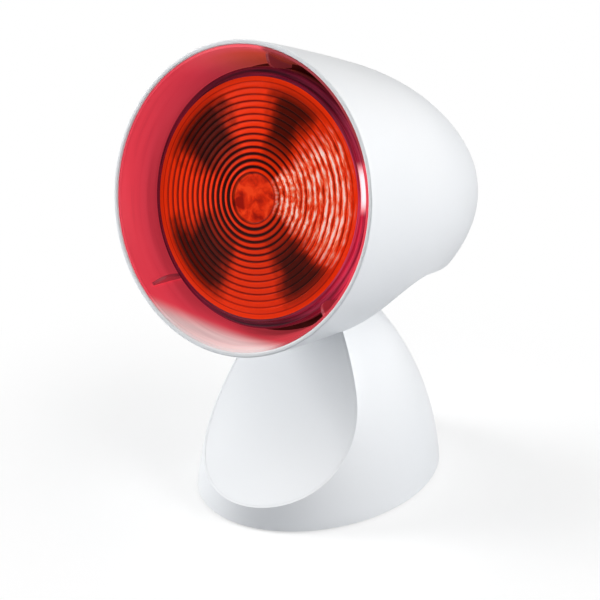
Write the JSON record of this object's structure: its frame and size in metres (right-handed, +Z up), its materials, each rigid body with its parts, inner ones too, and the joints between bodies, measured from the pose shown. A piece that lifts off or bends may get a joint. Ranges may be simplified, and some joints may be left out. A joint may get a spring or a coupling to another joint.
{
  "type": "infrared heat therapy lamp",
  "caption": "Table lamp for infrared heat therapy: a tilting bell-shaped head with a red reflector bulb on a dome-shaped weighted stand with a rocker switch.",
  "frame": {"origin": "on the floor, under the middle of the lamp's width and length", "axes": "+Z up, -Y towards the front where the bulb shines, +X to the lamp's left seen from behind the front"},
  "size_m": [0.1458, 0.1808, 0.2371],
  "materials": {
    "white_shell": "satin moulded ABS",
    "liner_gloss": "glossy, coloured by the bulb it faces",
    "ruby_glass": "pressed ruby glass with concentric ridges",
    "silvered_glass": "pressed glass, silvered inside",
    "clear_glass": "clear",
    "black_glass": "fused black glass",
    "cap_metal": "rolled and stamped",
    "porcelain": "glazed",
    "brass": "stamped",
    "tungsten": "coiled wire",
    "zinc_steel": "zinc plated",
    "ballast_iron": "as cast, painted",
    "black_plastic": "moulded, fine texture",
    "terminal_plastic": "moulded",
    "feet_rubber": "moulded",
    "lead_sheath": "extruded silicone sheath"
  },
  "bodies": {
    "stand": {"stand_shell": "white_shell", "front_panel": "white_shell", "terminal_inserts": "brass", "switch_tabs": "brass", "base_screws": "zinc_steel", "ballast_screws": "zinc_steel", "yoke_bracket": "zinc_steel", "yoke_screws": "zinc_steel", "friction_washers": "zinc_steel", "spring_washers": "zinc_steel", "pivot_screws": "zinc_steel", "terminal_screws": "zinc_steel", "rocker_pin": "zinc_steel", "ballast_weight": "ballast_iron", "switch_housing": "black_plastic", "cord_gland": "black_plastic", "gland_nut": "black_plastic", "base_plate": "black_plastic", "terminal_block": "terminal_plastic", "rubber_feet": "feet_rubber", "stand_lead": "lead_sheath", "switch_lead_left": "lead_sheath", "switch_lead_right": "lead_sheath"},
    "head": {"head_shell": "white_shell", "underside_cover": "white_shell", "cover_screws": "zinc_steel", "shroud_liner": "liner_gloss", "heat_shield": "cap_metal", "bulb_lens": "ruby_glass", "bulb_reflector": "silvered_glass", "bulb_cap": "cap_metal", "bulb_insulator": "black_glass", "bulb_contact": "cap_metal", "bulb_stem": "clear_glass", "filament": "tungsten", "filament_supports": "tungsten", "lampholder_body": "porcelain", "lampholder_thread": "brass", "lampholder_contact": "brass", "lampholder_bracket": "cap_metal", "bracket_screws": "zinc_steel", "holder_screws": "zinc_steel", "head_lead": "lead_sheath"},
    "rocker": {"switch_rocker": "black_plastic"}
  },
  "joints": [
    {"name": "head_tilt", "type": "hinge", "parent": "stand", "child": "head", "pos_m": [0, 0.00456, 0.08684], "axis": [-1, 0, 0], "range_deg": [-18, 22]},
    {"name": "switch_rock", "type": "hinge", "parent": "stand", "child": "rocker", "pos_m": [0, 0.04985, 0.03596], "axis": [-1, 0, 0], "range_deg": [0, 16]}
  ]
}
